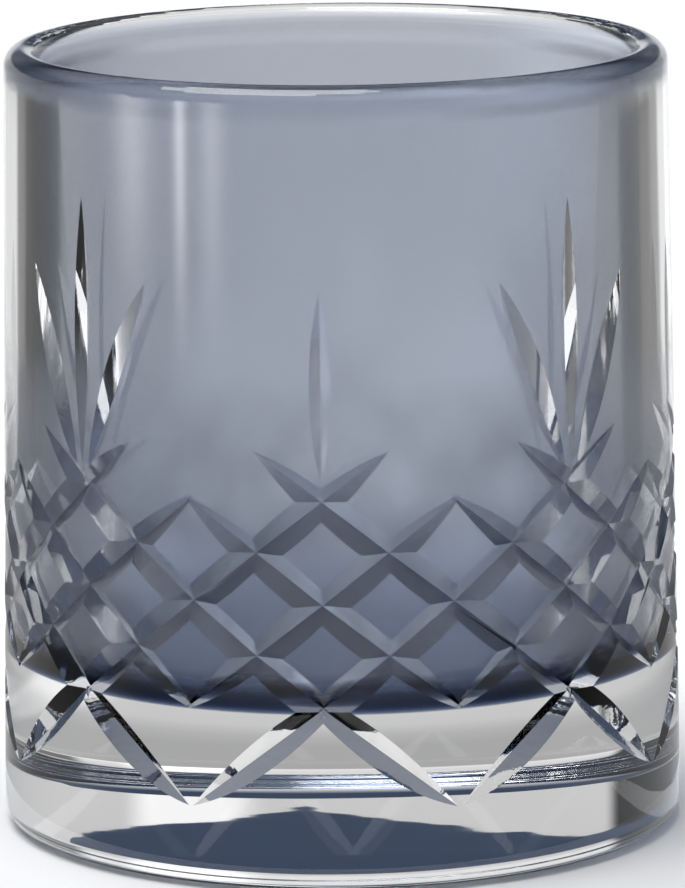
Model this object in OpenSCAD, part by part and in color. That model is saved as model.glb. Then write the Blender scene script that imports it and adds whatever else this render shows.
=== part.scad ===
// Cut-glass whiskey tumbler.
// A thick clear outer glass carries all the cutting, and a thin smoky-blue inner glass lines its cup.
// The origin is the middle of the foot, +Z is up, and one column of the cutting faces -Y.

/* [Outer glass] */
// Height from the table to the rim
height = 95; // [88:1:105]
// Radius of the outside where it meets the foot
foot_radius = 41.5; // [38:0.5:45]
// Radius of the outside at the rim
rim_radius = 40; // [38:0.5:45]
// Thickness of the wall, both layers together
wall = 4.4; // [4:0.1:5.5]
// Depth of solid glass under the cup, both layers together
base_thickness = 22.6; // [21:0.1:24]
// Radius of the rounded edge around the foot
heel_radius = 2.4; // [1.5:0.1:3]

/* [Inner glass] */
// Thickness of the tinted layer along the wall of the cup
lining = 0.8; // [0.5:0.1:1.2]
// Thickness of the tinted layer under the cup, where the glass gathers
lining_floor = 2.4; // [1:0.1:3]
// Radius of the curve between the cup's wall and its floor
cup_corner = 3; // [2:0.1:4]

/* [Diamond cutting] */
// Number of fan-topped columns around the glass, half of them tall
columns = 8; // [8:4:12]
// Height of the uppermost crossings
top_row = 46.4; // [44:0.2:48]
// Drop from one row of crossings to the next
row_drop = 6.13; // [5.8:0.01:6.3]
// Depth of a cut where two of them cross
cut_depth = 1.1; // [0.8:0.05:1.3]
// Angle between the two faces of a cut
cut_angle = 115; // [100:1:120]
// Depth that is left at the ends of the short diagonals
end_depth = 0.2; // [0:0.05:0.4]

/* [Fan cutting] */
// Height of the tips of the tall blades
tall_tip = 80.6; // [76:0.2:82]
// Height of the tips of the short blades and the leaning blades
short_tip = 71.5; // [68:0.2:74]
// Depth of a blade at its middle
blade_depth = 0.85; // [0.6:0.05:1]
// How far a leaning blade swings round the glass, in degrees
blade_lean = 14.3; // [10:0.1:16]

/* [Hidden] */
$fn = 180;

// The lattice: one step is a quarter of the way between two columns
steps_per_column = 4;
step = 360 / (columns * steps_per_column);
rows = 4;              // rows of diamonds below the uppermost crossings
arm_row = -1;          // row at which the arms above the lattice run out
leg_top_row = 3.5;     // rows between which the legs below the lattice run, just short of their neighbours
leg_tip_row = 5.97;

// How far each cut carries on past a crossing, so that neighbours join cleanly
overrun = 0.5;
// Height of the cutting wheel's V above the glass
clearance = 1.5;

// The blades start a little above the uppermost crossing
blade_root = top_row + 2.3;
lean_root = top_row + 1.7;
lean_root_swing = 1.2; // degrees round the glass between the root of a leaning blade and the column

// Segments along each rounded corner of a section
corner_steps = 12;

// The wall leans inwards by this much, and its rim is a half-round
wall_slope = (foot_radius - rim_radius) / height;
wall_tilt = atan(wall_slope);
rim_round = wall / 2;
clear_wall = wall - lining;

// Radius at height z of the surface that lies depth under the outside of the wall
function skin(depth, z) = foot_radius - wall_slope * z - depth / cos(wall_tilt);

// A point on a cut: u in lattice steps round the glass from -Y, z in height, below the surface by depth
function on_glass(u, z, depth) =
    let (r = skin(depth, z))
    [r * sin(u * step), -r * cos(u * step), z];

function row_height(row) = top_row - row * row_drop;
function crossing(u, row, depth) = on_glass(u, row_height(row), depth);
function unit(v) = v / norm(v);
function outward(p) = unit([p.x, p.y, 0]);

// Rigid frame at a point: x across the cut, y out of the glass, z along the cut
function cut_frame(origin, along, out) =
    let (z = unit(along), x = unit(cross(out, z)), y = cross(z, x))
    [[x.x, y.x, z.x, origin.x],
     [x.y, y.y, z.y, origin.y],
     [x.z, y.z, z.z, origin.z],
     [0, 0, 0, 1]];

// Section of a cut, with its point at the origin and opening towards +Y
module v_section(depth) {
    half_width = depth * tan(cut_angle / 2);
    polygon([[0, 0], [half_width, depth], [-half_width, depth]]);
}

// A straight cut whose bottom edge runs from point a to point b
module straight_cut(a, b) {
    along = unit(b - a);
    multmatrix(cut_frame(a - overrun * along, along, outward(a + b)))
        linear_extrude(norm(b - a) + 2 * overrun)
            v_section(cut_depth + clearance);
}

// A pointed blade from a to b on the surface, cut by the V edge of a large wheel
module wheel_cut(a, b, depth) {
    half_length = norm(b - a) / 2;
    wheel_radius = (half_length * half_length + depth * depth) / (2 * depth);
    out = outward(a + b);
    middle = (a + b) / 2 + (wheel_radius - depth) * out;
    section_height = depth + clearance;
    half_width = section_height * tan(cut_angle / 2);
    multmatrix(cut_frame(middle, cross(b - a, out), out))
        rotate_extrude()
            polygon([[wheel_radius, 0],
                     [wheel_radius - section_height, half_width],
                     [wheel_radius - section_height, -half_width]]);
}

// One long diagonal, from its arm above the lattice to its leg in the base; turn is 1 or -1.
// The leg is straight from surface to surface, so the curve of the glass makes it a pointed oval.
module long_diagonal(u, turn) {
    straight_cut(crossing(u + turn * arm_row, arm_row, 0), crossing(u, 0, cut_depth));
    for (row = [0 : rows - 1])
        straight_cut(crossing(u + turn * row, row, cut_depth),
                     crossing(u + turn * (row + 1), row + 1, cut_depth));
    straight_cut(crossing(u + turn * leg_top_row, leg_top_row, 0),
                 crossing(u + turn * leg_tip_row, leg_tip_row, 0));
}

// One short diagonal, which thins out at both edges of the lattice
module short_diagonal(u, turn) {
    for (row = [0 : rows - 1])
        straight_cut(crossing(u + turn * row, row, row == 0 ? end_depth : cut_depth),
                     crossing(u + turn * (row + 1), row + 1, row == rows - 1 ? end_depth : cut_depth));
}

module lattice_cuts() {
    for (column = [0 : columns - 1], turn = [-1, 1]) {
        long_diagonal(column * steps_per_column, turn);
        short_diagonal((column + 0.5) * steps_per_column, turn);
    }
}

module short_blade(u) {
    wheel_cut(on_glass(u, blade_root, 0), on_glass(u, short_tip, 0), blade_depth);
}

module tall_fan(u) {
    wheel_cut(on_glass(u, blade_root, 0), on_glass(u, tall_tip, 0), blade_depth);
    for (side = [-1, 1])
        wheel_cut(on_glass(u + side * lean_root_swing / step, lean_root, 0),
                  on_glass(u + side * blade_lean / step, short_tip, 0), blade_depth);
}

module fan_cuts() {
    for (column = [0 : 2 : columns - 1]) {
        short_blade(column * steps_per_column);
        tall_fan((column + 1) * steps_per_column);
    }
}

// Underside of the tinted layer, and the radius of the corner around it
lining_foot = base_thickness - lining_floor;
lining_corner = cup_corner + lining;

// Centre of a rounded corner of the section that touches the skin at depth and spreads round by radius
function corner_center(depth, radius, z) = [skin(depth + radius, z), z];
heel_center = corner_center(0, heel_radius, heel_radius);
rim_center = corner_center(0, rim_round, height - rim_round);
cup_center = corner_center(wall, cup_corner, base_thickness + cup_corner);
lining_center = corner_center(clear_wall, lining_corner, lining_foot + lining_corner);

// Direction from the middle of the rim to the seam between the two layers
seam_angle = wall_tilt + 90 + asin((clear_wall - rim_round) / rim_round);

function arc(center, radius, from, to) =
    [for (i = [0 : corner_steps])
        let (a = from + (to - from) * i / corner_steps)
        center + radius * [cos(a), sin(a)]];

// The clear glass before it is cut: foot, heel, wall and rim, then down the inside
module clear_blank() {
    rotate_extrude()
        polygon(concat([[0, 0]],
                       arc(heel_center, heel_radius, -90, wall_tilt),
                       arc(rim_center, rim_round, wall_tilt, seam_angle),
                       arc(lining_center, lining_corner, wall_tilt, -90),
                       [[0, lining_foot]]));
}

module clear_body() {
    color("aliceblue", 0.4)
        difference() {
            clear_blank();
            lattice_cuts();
            fan_cuts();
        }
}

// The tinted glass: up its outer face, over its share of the rim, and down the wall of the cup
module tinted_lining() {
    color("slategray", 0.6)
        rotate_extrude()
            polygon(concat([[0, lining_foot]],
                           arc(lining_center, lining_corner, -90, wall_tilt),
                           arc(rim_center, rim_round, seam_angle, 180 + wall_tilt),
                           arc(cup_center, cup_corner, wall_tilt, -90),
                           [[0, base_thickness]]));
}

clear_body();
tinted_lining();
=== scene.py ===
"""Looks of the cut-glass whiskey tumbler: cut clear glass, a smoky-blue inner layer, and a pale studio."""

import math

import bmesh
import bpy
from mathutils import Matrix, Vector


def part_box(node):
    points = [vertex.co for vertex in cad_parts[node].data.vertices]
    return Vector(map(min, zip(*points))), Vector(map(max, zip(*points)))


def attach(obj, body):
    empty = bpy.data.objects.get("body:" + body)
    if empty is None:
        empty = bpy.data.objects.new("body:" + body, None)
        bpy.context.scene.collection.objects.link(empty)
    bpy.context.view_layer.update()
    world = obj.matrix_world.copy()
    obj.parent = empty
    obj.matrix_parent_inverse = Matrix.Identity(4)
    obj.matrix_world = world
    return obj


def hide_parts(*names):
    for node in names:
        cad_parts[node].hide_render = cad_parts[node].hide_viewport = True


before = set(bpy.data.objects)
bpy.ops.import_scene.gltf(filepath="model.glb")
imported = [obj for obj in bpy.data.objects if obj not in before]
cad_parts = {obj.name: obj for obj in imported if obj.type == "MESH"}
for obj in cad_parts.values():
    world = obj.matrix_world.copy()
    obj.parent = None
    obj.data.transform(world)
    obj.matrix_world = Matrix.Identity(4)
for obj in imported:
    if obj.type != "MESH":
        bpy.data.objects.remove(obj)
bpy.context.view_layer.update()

# ---------------------------------------------------------------- sizes, in metres
MM = 0.001
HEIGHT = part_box("clear_body")[1].z
FOOT_RADIUS = 41.5 * MM
RIM_RADIUS = 40.0 * MM
WALL = 4.4 * MM
LINING = 0.8 * MM
LINING_FLOOR = 2.4 * MM
LINING_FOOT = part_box("tinted_lining")[0].z
CUP_FLOOR = LINING_FOOT + LINING_FLOOR
HEEL_RADIUS = 2.4 * MM
CUP_CORNER = 3.0 * MM
LINING_CORNER = CUP_CORNER + LINING

# The cutting: columns round the glass, each four lattice steps from the next
COLUMNS = 8
STEPS_PER_COLUMN = 4
STEP = 2 * math.pi / (COLUMNS * STEPS_PER_COLUMN)
TOP_ROW = 46.4 * MM
ROW_DROP = 6.13 * MM
ROWS = 4
ARM_ROW = -1
LEG_TOP_ROW = 3.5
LEG_TIP_ROW = 5.97
CUT_DEPTH = 1.1 * MM
END_DEPTH = 0.2 * MM
CUT_ANGLE = math.radians(115)
OVERRUN = 0.5 * MM
CLEARANCE = 1.5 * MM

# The fans over the columns
TALL_TIP = 80.6 * MM
SHORT_TIP = 71.5 * MM
BLADE_ROOT = TOP_ROW + 2.3 * MM
LEAN_ROOT = TOP_ROW + 1.7 * MM
LEAN_ROOT_SWING = math.radians(1.2)
BLADE_LEAN = math.radians(14.3)
BLADE_DEPTH = 0.85 * MM

# Fineness of the meshes
TURN_STEPS = 480
CORNER_STEPS = 24
BLADE_STEPS = 32
EDGE_LOOP = 0.05 * MM
LONG_RUN = 2.0 * MM
SHARP_ANGLE = math.radians(5)

# A hair of air parts the layers up the wall. It keeps the tint out of the wall's edges, which are clear.
# The layers are fused under the cup and at the rim, and partly fused behind the lattice.
# Each pair is a height and how far the seam is open there.
LAYER_GAP = 0.02 * MM
SEAM = (
    (CUP_FLOOR, 0),
    (CUP_FLOOR + 4 * MM, 0.4),
    (TOP_ROW, 0.4),
    (TOP_ROW + 14 * MM, 1),
    (HEIGHT - 5 * MM, 1),
    (HEIGHT - 3 * MM, 0),
)
# A face lies on the seam only if its normal points at the other layer by more than this.
SEAM_FACING = 0.5
# The body's materials are those of its wall, its facets and its seam, in this order.
SEAM_SLOT = 2

WALL_SLOPE = (FOOT_RADIUS - RIM_RADIUS) / HEIGHT
WALL_TILT = math.atan(WALL_SLOPE)
RIM_ROUND = WALL / 2
CLEAR_WALL = WALL - LINING
QUARTER = math.pi / 2


# ---------------------------------------------------------------- outlines and solids of revolution
def skin(depth, z):
    """Radius at height z of the surface that lies depth under the outside of the wall."""
    return FOOT_RADIUS - WALL_SLOPE * z - depth / math.cos(WALL_TILT)


def arc(center, radius, start, end):
    """Points along an arc of an outline, as (radius, height) pairs."""
    angles = [start + (end - start) * i / CORNER_STEPS for i in range(CORNER_STEPS + 1)]
    return [(center[0] + radius * math.cos(a), center[1] + radius * math.sin(a)) for a in angles]


def seam_angle(depth):
    """Direction from the middle of the rim to the point of it that lies depth under the outside."""
    return WALL_TILT + QUARTER + math.asin((depth - RIM_ROUND) / RIM_ROUND)


def corner_center(depth, radius, z):
    """Centre of a rounded corner of the section that touches the skin at depth."""
    return skin(depth + radius, z), z


HEEL_CENTER = corner_center(0, HEEL_RADIUS, HEEL_RADIUS)
RIM_CENTER = corner_center(0, RIM_ROUND, HEIGHT - RIM_ROUND)
CUP_CENTER = corner_center(WALL, CUP_CORNER, CUP_FLOOR + CUP_CORNER)
LINING_CENTER = corner_center(CLEAR_WALL, LINING_CORNER, LINING_FOOT + LINING_CORNER)


def with_edge_loops(outline):
    """Adds a point close to each end of every long run, so that smooth shading stays true along it."""
    points = []
    for a, b in zip(outline, outline[1:]):
        points.append(a)
        run = math.dist(a, b)
        if run > LONG_RUN:
            for share in (EDGE_LOOP / run, 1 - EDGE_LOOP / run):
                points.append((a[0] + (b[0] - a[0]) * share, a[1] + (b[1] - a[1]) * share))
    return points + [outline[-1]]


def new_object(name, mesh):
    piece = bpy.data.objects.new(name, mesh)
    bpy.context.scene.collection.objects.link(piece)
    return piece


def finish_bmesh(bm, name):
    bmesh.ops.recalc_face_normals(bm, faces=bm.faces)
    mesh = bpy.data.meshes.new(name)
    bm.to_mesh(mesh)
    bm.free()
    return new_object(name, mesh)


def turned(name, outline):
    """A closed solid of revolution; the outline starts and ends on the axis."""
    bm = bmesh.new()
    rings = []
    for radius, z in with_edge_loops(outline):
        if radius == 0:
            rings.append([bm.verts.new((0, 0, z))])
            continue
        turns = [2 * math.pi * i / TURN_STEPS for i in range(TURN_STEPS)]
        rings.append([bm.verts.new((radius * math.sin(a), -radius * math.cos(a), z)) for a in turns])
    for low, high in zip(rings, rings[1:]):
        for i in range(TURN_STEPS):
            j = (i + 1) % TURN_STEPS
            if len(low) == 1:
                bm.faces.new((low[0], high[j], high[i]))
            elif len(high) == 1:
                bm.faces.new((low[i], low[j], high[0]))
            else:
                bm.faces.new((low[i], low[j], high[j], high[i]))
    return finish_bmesh(bm, name)


# ---------------------------------------------------------------- the cutting
def on_glass(u, z, depth=0.0):
    """A point u lattice steps round the glass from -Y, at height z, depth below the surface."""
    radius = skin(depth, z)
    return Vector((radius * math.sin(u * STEP), -radius * math.cos(u * STEP), z))


def crossing(u, row, depth=CUT_DEPTH):
    return on_glass(u, TOP_ROW - row * ROW_DROP, depth)


def cut_frame(along, out):
    """Axes across the cut, out of the glass and along the cut."""
    z = along.normalized()
    x = out.cross(z).normalized()
    return x, z.cross(x), z


def outward(a, b):
    middle = a + b
    return Vector((middle.x, middle.y, 0)).normalized()


def swept_triangle(name, sections):
    """A closed solid through triangular sections."""
    bm = bmesh.new()
    rings = [[bm.verts.new(p) for p in section] for section in sections]
    for low, high in zip(rings, rings[1:]):
        for i in range(3):
            j = (i + 1) % 3
            bm.faces.new((low[i], low[j], high[j], high[i]))
    bm.faces.new(rings[0])
    bm.faces.new(rings[-1])
    return finish_bmesh(bm, name)


def v_section(point, out, across, depth):
    """The V of the cutting wheel: its point, and the two ends of its faces well above the glass."""
    rise = depth + CLEARANCE
    half_width = rise * math.tan(CUT_ANGLE / 2)
    top = point + rise * out
    return point, top + half_width * across, top - half_width * across


def straight_cut(a, b):
    """A V groove whose bottom edge runs straight from a to b."""
    across, out, along = cut_frame(b - a, outward(a, b))
    ends = (a - OVERRUN * along, b + OVERRUN * along)
    return swept_triangle("cutter", [v_section(end, out, across, CUT_DEPTH) for end in ends])


def wheel_cut(a, b):
    """A pointed blade from a to b on the surface, as the V edge of a large wheel leaves it."""
    across, out, along = cut_frame(b - a, outward(a, b))
    half_length = (b - a).length / 2
    wheel_radius = (half_length ** 2 + BLADE_DEPTH ** 2) / (2 * BLADE_DEPTH)
    center = (a + b) / 2 + (wheel_radius - BLADE_DEPTH) * out
    reach = math.asin((half_length + CLEARANCE) / wheel_radius)
    sections = []
    for i in range(BLADE_STEPS + 1):
        angle = reach * (2 * i / BLADE_STEPS - 1)
        spoke = math.sin(angle) * along - math.cos(angle) * out
        sections.append(v_section(center + wheel_radius * spoke, -spoke, across, BLADE_DEPTH))
    return swept_triangle("cutter", sections)


def long_diagonal(u, turn):
    """From the arm above the lattice to the leg in the base."""
    cuts = [straight_cut(crossing(u + turn * ARM_ROW, ARM_ROW, 0), crossing(u, 0))]
    cuts += [straight_cut(crossing(u + turn * row, row), crossing(u + turn * (row + 1), row + 1))
             for row in range(ROWS)]
    cuts.append(straight_cut(crossing(u + turn * LEG_TOP_ROW, LEG_TOP_ROW, 0),
                             crossing(u + turn * LEG_TIP_ROW, LEG_TIP_ROW, 0)))
    return cuts


def short_diagonal(u, turn):
    """Thins out at both edges of the lattice."""
    depths = [END_DEPTH] + [CUT_DEPTH] * (ROWS - 1) + [END_DEPTH]
    return [straight_cut(crossing(u + turn * row, row, depths[row]),
                         crossing(u + turn * (row + 1), row + 1, depths[row + 1])) for row in range(ROWS)]


def fan(column):
    """Even columns carry one short blade, odd columns a tall blade between two that lean out."""
    u = column * STEPS_PER_COLUMN
    if column % 2 == 0:
        return [wheel_cut(on_glass(u, BLADE_ROOT), on_glass(u, SHORT_TIP))]
    blades = [wheel_cut(on_glass(u, BLADE_ROOT), on_glass(u, TALL_TIP))]
    for side in (-1, 1):
        blades.append(wheel_cut(on_glass(u + side * LEAN_ROOT_SWING / STEP, LEAN_ROOT),
                                on_glass(u + side * BLADE_LEAN / STEP, SHORT_TIP)))
    return blades


def cutting():
    cutters = []
    for column in range(COLUMNS):
        for turn in (-1, 1):
            cutters += long_diagonal(column * STEPS_PER_COLUMN, turn)
            cutters += short_diagonal((column + 0.5) * STEPS_PER_COLUMN, turn)
        cutters += fan(column)
    return cutters


def carve(piece, cutters, facet_material):
    """Takes the cutters out of the piece, which leaves facets of another material, and deletes them."""
    tools = bpy.data.collections.new("cutters")
    for cutter in cutters:
        bpy.context.scene.collection.objects.unlink(cutter)
        tools.objects.link(cutter)
        cutter.data.materials.append(facet_material)
    carving = piece.modifiers.new("carving", "BOOLEAN")
    carving.operation = "DIFFERENCE"
    carving.operand_type = "COLLECTION"
    carving.collection = tools
    carving.solver = "MANIFOLD"
    carving.material_mode = "TRANSFER"
    graph = bpy.context.evaluated_depsgraph_get()
    carved = bpy.data.meshes.new_from_object(piece.evaluated_get(graph))
    piece.modifiers.clear()
    piece.data = carved
    for cutter in cutters:
        bpy.data.objects.remove(cutter)
    bpy.data.collections.remove(tools)


def shade(piece):
    """Smooth, with the edges of the cuts left sharp."""
    mesh = piece.data
    mesh.shade_smooth()
    mesh.set_sharp_from_angle(angle=SHARP_ANGLE)


def at_seam(face, side):
    """Whether a face lies on the seam between the layers; side is 1 on the inner layer, -1 on the outer."""
    x, y, z = face.center
    radius = math.hypot(x, y)
    depth = (skin(0, z) - radius) * math.cos(WALL_TILT)
    outwards = (face.normal.x * x + face.normal.y * y) / radius
    faces_other = max(side * outwards, -side * face.normal.z) > SEAM_FACING
    return faces_other and depth > CLEAR_WALL - LAYER_GAP and z > LINING_FOOT - LAYER_GAP


def seam_opening(z):
    """How far the seam is open at height z, straight between the heights that SEAM gives."""
    for (low, low_opening), (high, high_opening) in zip(SEAM, SEAM[1:]):
        if low < z <= high:
            return low_opening + (high_opening - low_opening) * (z - low) / (high - low)
    return 0


def mark_exposed(piece, side):
    """Stores at every corner of every face how open it is to the air: fully, except along the seam."""
    mesh = piece.data
    exposed = mesh.attributes.new("exposed", "FLOAT", "CORNER").data
    for face in mesh.polygons:
        seam = at_seam(face, side)
        for loop in face.loop_indices:
            corner = mesh.vertices[mesh.loops[loop].vertex_index].co
            exposed[loop].value = seam_opening(corner.z) if seam else 1


def seam_outline(depth):
    """Points of an outline up the seam, from the lattice to the rim."""
    return [(skin(depth, z), z) for z, opening in SEAM[1:]]


def make_clear_body(wall_material, facet_material, seam_material):
    outline = [(0, 0)]
    outline += arc(HEEL_CENTER, HEEL_RADIUS, -QUARTER, WALL_TILT)
    outline += arc(RIM_CENTER, RIM_ROUND, WALL_TILT, seam_angle(CLEAR_WALL))
    outline += reversed(seam_outline(CLEAR_WALL))
    outline += arc(LINING_CENTER, LINING_CORNER, WALL_TILT, -QUARTER)
    outline += [(0, LINING_FOOT)]
    body = turned("cut_glass_body", outline)
    body.data.materials.append(wall_material)
    carve(body, cutting(), facet_material)
    body.data.materials.append(seam_material)
    for face in body.data.polygons:
        if at_seam(face, -1):
            face.material_index = SEAM_SLOT
    mark_exposed(body, -1)
    shade(body)
    return body


def make_tinted_layer(material):
    outline = [(0, LINING_FOOT + LAYER_GAP)]
    outline += arc(LINING_CENTER, LINING_CORNER - LAYER_GAP, -QUARTER, WALL_TILT)
    outline += seam_outline(CLEAR_WALL + LAYER_GAP)
    outline += arc(RIM_CENTER, RIM_ROUND, seam_angle(CLEAR_WALL + LAYER_GAP), math.pi + WALL_TILT)
    outline += arc(CUP_CENTER, CUP_CORNER, WALL_TILT, -QUARTER)
    outline += [(0, CUP_FLOOR)]
    layer = turned("tinted_layer", outline)
    layer.data.materials.append(material)
    mark_exposed(layer, 1)
    shade(layer)
    return layer


# ---------------------------------------------------------------- materials
GLASS_IOR = 1.5
FULL_SPECULAR = 0.5
SATIN_SPECULAR = 0.25
SMOKY_BLUE = (0.12, 0.235, 0.43, 1)
TINT_DENSITY = 690  # per metre

# Relief in the surface: grains to the metre, and height
BLOWN_WAVES = (60, 0.01 * MM)
LINING_WAVES = (60, 0.02 * MM)
FACET_GRAIN = (900, 0.01 * MM)
# Roughness: grains to the metre, least, and most
FOOT_SCUFFS = (1500, 0, 0.02)
FACET_POLISH = (400, 0, 0.05)
SATIN = (120, 0.18, 0.28)
GRAIN_DETAIL = 2
SCUFF_HEIGHT = 0.3 * MM


def glass(name, specular=FULL_SPECULAR):
    """Clear glass, which light goes straight through where it is not exposed, as if fused to more glass."""
    material = bpy.data.materials.new(name)
    material.use_nodes = True
    nodes = material.node_tree.nodes
    shader = nodes["Principled BSDF"]
    shader.inputs["Base Color"].default_value = (1, 1, 1, 1)
    shader.inputs["Transmission Weight"].default_value = 1
    shader.inputs["Roughness"].default_value = 0
    shader.inputs["IOR"].default_value = GLASS_IOR
    shader.inputs["Specular IOR Level"].default_value = specular
    exposed = nodes.new("ShaderNodeAttribute")
    exposed.attribute_name = "exposed"
    material.node_tree.links.new(exposed.outputs["Fac"], shader.inputs["Alpha"])
    return material


def grain(material, scale):
    """A noise that is fixed to the piece, with about this many grains to the metre."""
    nodes = material.node_tree.nodes
    place = nodes.new("ShaderNodeTexCoord")
    noise = nodes.new("ShaderNodeTexNoise")
    noise.inputs["Scale"].default_value = scale
    noise.inputs["Detail"].default_value = GRAIN_DETAIL
    material.node_tree.links.new(place.outputs["Object"], noise.inputs["Vector"])
    return noise.outputs["Fac"]


def add_relief(material, scale, height):
    """Waves of this height in the surface."""
    nodes = material.node_tree.nodes
    links = material.node_tree.links
    relief = nodes.new("ShaderNodeBump")
    relief.inputs["Distance"].default_value = height
    links.new(grain(material, scale), relief.inputs["Height"])
    links.new(relief.outputs["Normal"], nodes["Principled BSDF"].inputs["Normal"])


def near_foot(material):
    """1 on the flat foot, where the glass slides over tables, and 0 a little above it."""
    nodes = material.node_tree.nodes
    links = material.node_tree.links
    place = nodes.new("ShaderNodeTexCoord")
    axes = nodes.new("ShaderNodeSeparateXYZ")
    near = nodes.new("ShaderNodeMapRange")
    near.inputs["From Min"].default_value = SCUFF_HEIGHT
    near.inputs["From Max"].default_value = 0
    links.new(place.outputs["Object"], axes.inputs["Vector"])
    links.new(axes.outputs["Z"], near.inputs["Value"])
    return near.outputs["Result"]


def vary_roughness(material, scale, least, most, mask=None):
    """Roughness that wanders between least and most with a noise, and stays at least off the mask."""
    nodes = material.node_tree.nodes
    links = material.node_tree.links
    share = nodes.new("ShaderNodeMath")
    share.operation = "MULTIPLY"
    share.inputs[1].default_value = 1
    links.new(grain(material, scale), share.inputs[0])
    if mask:
        links.new(mask, share.inputs[1])
    roughness = nodes.new("ShaderNodeMapRange")
    roughness.inputs["To Min"].default_value = least
    roughness.inputs["To Max"].default_value = most
    links.new(share.outputs["Value"], roughness.inputs["Value"])
    links.new(roughness.outputs["Result"], nodes["Principled BSDF"].inputs["Roughness"])


def clear_glass():
    """Polished, with the slow waves of hand-blown glass and a foot scuffed by use."""
    material = glass("clear_glass")
    add_relief(material, *BLOWN_WAVES)
    vary_roughness(material, *FOOT_SCUFFS, near_foot(material))
    return material


def cut_glass():
    """The facets: ground, then polished, which leaves a fine grain."""
    material = glass("cut_glass")
    add_relief(material, *FACET_GRAIN)
    vary_roughness(material, *FACET_POLISH)
    return material


def smoky_blue_glass():
    """Tinted glass with a satin surface, which softens what is behind it."""
    material = glass("smoky_blue_glass", SATIN_SPECULAR)
    nodes = material.node_tree.nodes
    absorption = nodes.new("ShaderNodeVolumeAbsorption")
    absorption.inputs["Color"].default_value = SMOKY_BLUE
    absorption.inputs["Density"].default_value = TINT_DENSITY
    material.node_tree.links.new(absorption.outputs["Volume"], nodes["Material Output"].inputs["Volume"])
    add_relief(material, *LINING_WAVES)
    vary_roughness(material, *SATIN)
    return material


# ---------------------------------------------------------------- the studio
# Angles are in degrees round the glass, from +Y straight behind it towards +X.
# A pair of heights or radii gives where a change of light begins and where it ends.
# A band is its start, its end, and how far it fades out beyond each of them.
FRONT = 180
FLOOR_REACH = 9.0
FLOOR_DROP = 0.2 * MM
FLOOR_COLOR = (0.85, 0.85, 0.85, 1)
FLOOR_ROUGHNESS = 0.6

# Both cards reach in over the table, just above it.
TABLE_LEVEL = 1 * MM
TABLE_ROWS = 46
WALL_ROWS = 20

# The backdrop is low: its top edge is lowest straight behind the glass, rises to both sides, and takes a step
# up at the right. Beyond the full angle it goes down to the table at its ends.
BACKDROP_INSIDE = 43 * MM
BACKDROP_RADIUS = 290 * MM
BACKDROP_REACH = 85
BACKDROP_LOW = 64.5 * MM
BACKDROP_RISE = 9.5 * MM
BACKDROP_STEP = 20 * MM
BACKDROP_SIDE = 31
BACKDROP_STEP_END = 38
BACKDROP_FULL = 65
GREY = 0.42
PALE = 0.62
BRIGHT = 0.88
GREY_TO_PALE = (55 * MM, 66 * MM)
PALE_TO_BRIGHT = (80 * MM, 150 * MM)
# Up the wall, each of these steps takes it half of the way back from bright to pale.
DIMMER_STEPS = ((0, 15 * MM), (46 * MM, 53 * MM))
# Bands up the backdrop, and the share of the light that each of them adds or takes
LIT_BAND = (8, 16, 5)
LIT_GAIN = 0.6
BLACK_BAND = (-70, -39, 4)
BLACK_LOSS = 0.97
GREY_BAND = (31, 60, 5)
GREY_LOSS = 0.8
GREY_BAND_TOP = (60 * MM, 53 * MM)
DARK_BANDS_FROM = (170 * MM, 240 * MM)

# The surround leaves a gap straight behind the glass, and only its mirror image shows.
SURROUND_INSIDE = 50 * MM
SURROUND_RADIUS = 280 * MM
SURROUND_HEIGHT = 120 * MM
SURROUND_ENDS = (28, 332)
SIDE_LIGHT = 0.6
SHEEN = (1.0, 1.25, 2.0)
SHEEN_BAND = (170 * MM, 240 * MM, 40 * MM)
FRONT_BAND = (-50, 50, 25)
WALL_LIGHT = 0.7
WINDOW_SILL = (20 * MM, 65 * MM)
# Bands of the window: place in degrees to the left of the front, half-width, and brightness
PANES = ((37, 4, 3.2), (48, 2.2, 7.2), (66, 7, 4.0))

# The sky: sine of the elevation, and colour
NAVY = (0.05, 0.07, 0.115, 1)
SKY = ((0.10, (0.92, 0.94, 0.97, 1)), (0.15, NAVY), (0.40, NAVY), (0.60, (0.6, 0.62, 0.66, 1)))
KEY_POWER = 2.7
KEY_ANGLE = math.radians(45)
KEY_FROM = Vector((-0.25, -0.1, 1))

# The camera stands low and far, a little to the right of the column at -Y, with a slight roll.
CAMERA_DISTANCE = 20 * FOOT_RADIUS
CAMERA_ELEVATION = math.radians(10.77)
CAMERA_AZIMUTH = math.radians(3.1)
CAMERA_ROLL = math.radians(-0.58)
CAMERA_LENS = 276.2
CAMERA_SHIFT = (0.0037, -0.0167)
CAMERA_CLIP = 100

MOST_BOUNCES = 16
MOST_GLOSSY_BOUNCES = 12
MOST_TRANSPARENT_BOUNCES = 24


def floor():
    corners = [(-1, -1), (1, -1), (1, 1), (-1, 1)]
    mesh = bpy.data.meshes.new("floor")
    points = [(x * FLOOR_REACH, y * FLOOR_REACH, -FLOOR_DROP) for x, y in corners]
    mesh.from_pydata(points, [], [(0, 1, 2, 3)])
    plane = new_object("floor", mesh)
    material = bpy.data.materials.new("pale_floor")
    material.use_nodes = True
    shader = material.node_tree.nodes["Principled BSDF"]
    shader.inputs["Base Color"].default_value = FLOOR_COLOR
    shader.inputs["Roughness"].default_value = FLOOR_ROUGHNESS
    mesh.materials.append(material)


def ease(value, start, end):
    """Goes smoothly from 0 to 1 as value goes from start to end."""
    share = max(0, min(1, (value - start) / (end - start)))
    return share * share * (3 - 2 * share)


def band(value, start, end, soft):
    """1 between start and end, going smoothly to 0 over soft beyond each of them."""
    return ease(value, start - soft, start) * ease(value, end + soft, end)


def spread(start, end, count):
    return [start + (end - start) * i / count for i in range(count + 1)]


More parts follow.
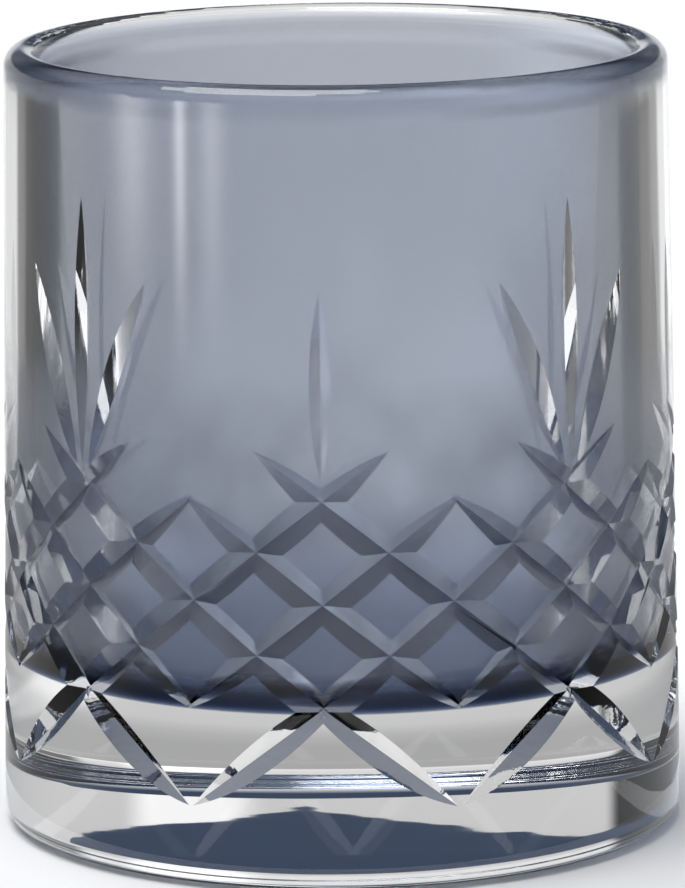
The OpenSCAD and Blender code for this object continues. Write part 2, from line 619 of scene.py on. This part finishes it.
def tray(inside, radius, top):
    """Points of a card that lies on the table out to radius, and stands up from there to top."""
    table = [(r, TABLE_LEVEL) for r in spread(inside, radius, TABLE_ROWS)]
    wall = [(radius, z) for z in spread(TABLE_LEVEL, top, WALL_ROWS)]
    return table + wall[1:]


def backdrop_profile(angle):
    side = min(abs(angle) / BACKDROP_SIDE, 1)
    step = ease(angle, BACKDROP_SIDE, BACKDROP_STEP_END)
    top = BACKDROP_LOW + BACKDROP_RISE * side + BACKDROP_STEP * step
    end = ease(abs(angle), BACKDROP_REACH, BACKDROP_FULL)
    return tray(BACKDROP_INSIDE, BACKDROP_RADIUS, TABLE_LEVEL + top * end)


def backdrop_glow(angle, radius, z):
    """Grey by the foot and bright further off, with a black band at the left and a grey one at the right."""
    light = GREY + (PALE - GREY) * ease(radius, *GREY_TO_PALE)
    light += (BRIGHT - PALE) * ease(radius, *PALE_TO_BRIGHT)
    light -= (BRIGHT - PALE) * sum(ease(z, *step) for step in DIMMER_STEPS) / len(DIMMER_STEPS)
    lit = LIT_GAIN * band(angle, *LIT_BAND)
    far = ease(radius, *DARK_BANDS_FROM)
    black = BLACK_LOSS * band(angle, *BLACK_BAND) * far
    grey = GREY_LOSS * band(angle, *GREY_BAND) * ease(z, *GREY_BAND_TOP) * far
    light *= (1 + lit) * (1 - black) * (1 - grey)
    return light, light, light


def surround_profile(angle):
    """The same at every angle."""
    return tray(SURROUND_INSIDE, SURROUND_RADIUS, SURROUND_HEIGHT)


def surround_glow(angle, radius, z):
    """Black by the glass, a blue sheen on the table in front, pale at the sides, and a window on the wall."""
    turn = angle - FRONT
    if z > TABLE_LEVEL:
        window = sum(light * math.exp(-((turn - place) / width) ** 2) for place, width, light in PANES)
        light = WALL_LIGHT + window * ease(z, *WINDOW_SILL)
        return light, light, light
    front = band(turn, *FRONT_BAND)
    sheen = front * band(radius, *SHEEN_BAND)
    return tuple(SIDE_LIGHT * (1 - front) + sheen * share for share in SHEEN)


def glowing():
    """Black, and gives off the light that its mesh says."""
    material = bpy.data.materials.new("glowing_card")
    material.use_nodes = True
    nodes = material.node_tree.nodes
    shader = nodes["Principled BSDF"]
    shader.inputs["Base Color"].default_value = (0, 0, 0, 1)
    shader.inputs["Specular IOR Level"].default_value = 0
    shader.inputs["Emission Strength"].default_value = 1
    glow = nodes.new("ShaderNodeVertexColor")
    glow.layer_name = "glow"
    material.node_tree.links.new(glow.outputs["Color"], shader.inputs["Emission Color"])
    return material


def card(name, ends, profile, glow):
    """A card swept round the glass between two angles, one degree at a time.

    profile gives its (radius, height) points at an angle, and glow the light that it gives off at a point.
    """
    angles = range(ends[0], ends[1] + 1)
    points = []
    lights = []
    for angle in angles:
        turn = math.radians(angle)
        for radius, z in profile(angle):
            points.append((radius * math.sin(turn), radius * math.cos(turn), z))
            lights.append((*glow(angle, radius, z), 1))
    width = len(points) // len(angles)
    faces = []
    for i in range(len(angles) - 1):
        for j in range(width - 1):
            corner = i * width + j
            faces.append((corner, corner + 1, corner + width + 1, corner + width))
    mesh = bpy.data.meshes.new(name)
    mesh.from_pydata(points, [], faces)
    marks = mesh.color_attributes.new("glow", "FLOAT_COLOR", "POINT").data
    for mark, light in zip(marks, lights):
        mark.color = light
    mesh.materials.append(glowing())
    piece = new_object(name, mesh)
    piece.visible_camera = False
    piece.visible_diffuse = False
    piece.visible_shadow = False
    return piece


def cards():
    """Two cards that only the glass sees: the backdrop through it, and the surround mirrored in it."""
    backdrop = card("backdrop", (-BACKDROP_REACH, BACKDROP_REACH), backdrop_profile, backdrop_glow)
    backdrop.visible_glossy = False
    surround = card("surround", SURROUND_ENDS, surround_profile, surround_glow)
    surround.visible_transmission = False


def key_light():
    data = bpy.data.lights.new("key", "SUN")
    data.energy = KEY_POWER
    data.angle = KEY_ANGLE
    lamp = bpy.data.objects.new("key", data)
    lamp.rotation_euler = (-KEY_FROM).to_track_quat("-Z", "Y").to_euler()
    bpy.context.scene.collection.objects.link(lamp)


def sky():
    """Light at the horizon and overhead, and navy in between."""
    world = bpy.data.worlds.new("room")
    world.use_nodes = True
    nodes = world.node_tree.nodes
    links = world.node_tree.links
    place = nodes.new("ShaderNodeTexCoord")
    axes = nodes.new("ShaderNodeSeparateXYZ")
    ramp = nodes.new("ShaderNodeValToRGB")
    stops = ramp.color_ramp.elements
    for i, (height, color) in enumerate(SKY):
        stop = stops[i] if i < len(stops) else stops.new(height)
        stop.position = height
        stop.color = color
    links.new(place.outputs["Generated"], axes.inputs["Vector"])
    links.new(axes.outputs["Z"], ramp.inputs["Fac"])
    links.new(ramp.outputs["Color"], nodes["Background"].inputs["Color"])
    bpy.context.scene.world = world


def camera():
    level = Vector((math.sin(CAMERA_AZIMUTH), -math.cos(CAMERA_AZIMUTH), 0))
    away = math.cos(CAMERA_ELEVATION) * level + math.sin(CAMERA_ELEVATION) * Vector((0, 0, 1))
    place = Matrix.Translation(Vector((0, 0, HEIGHT / 2)) + CAMERA_DISTANCE * away)
    aim = (-away).to_track_quat("-Z", "Y").to_matrix().to_4x4()
    data = bpy.data.cameras.new("camera")
    data.lens = CAMERA_LENS
    data.shift_x, data.shift_y = CAMERA_SHIFT
    data.clip_end = CAMERA_CLIP
    view = bpy.data.objects.new("camera", data)
    view.matrix_world = place @ aim @ Matrix.Rotation(CAMERA_ROLL, 4, "Z")
    bpy.context.scene.collection.objects.link(view)
    bpy.context.scene.camera = view


def look():
    """Plain colours, and enough bounces for light to find its way through the cutting."""
    scene = bpy.context.scene
    scene.view_settings.view_transform = "Standard"
    scene.cycles.use_denoising = True
    scene.cycles.max_bounces = MOST_BOUNCES
    scene.cycles.transmission_bounces = MOST_BOUNCES
    scene.cycles.glossy_bounces = MOST_GLOSSY_BOUNCES
    scene.cycles.transparent_max_bounces = MOST_TRANSPARENT_BOUNCES


body = make_clear_body(clear_glass(), cut_glass(), glass("seam_glass", specular=0))
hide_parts("clear_body")
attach(body, "root")

layer = make_tinted_layer(smoky_blue_glass())
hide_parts("tinted_lining")
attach(layer, "root")

floor()
cards()
key_light()
sky()
camera()
look()
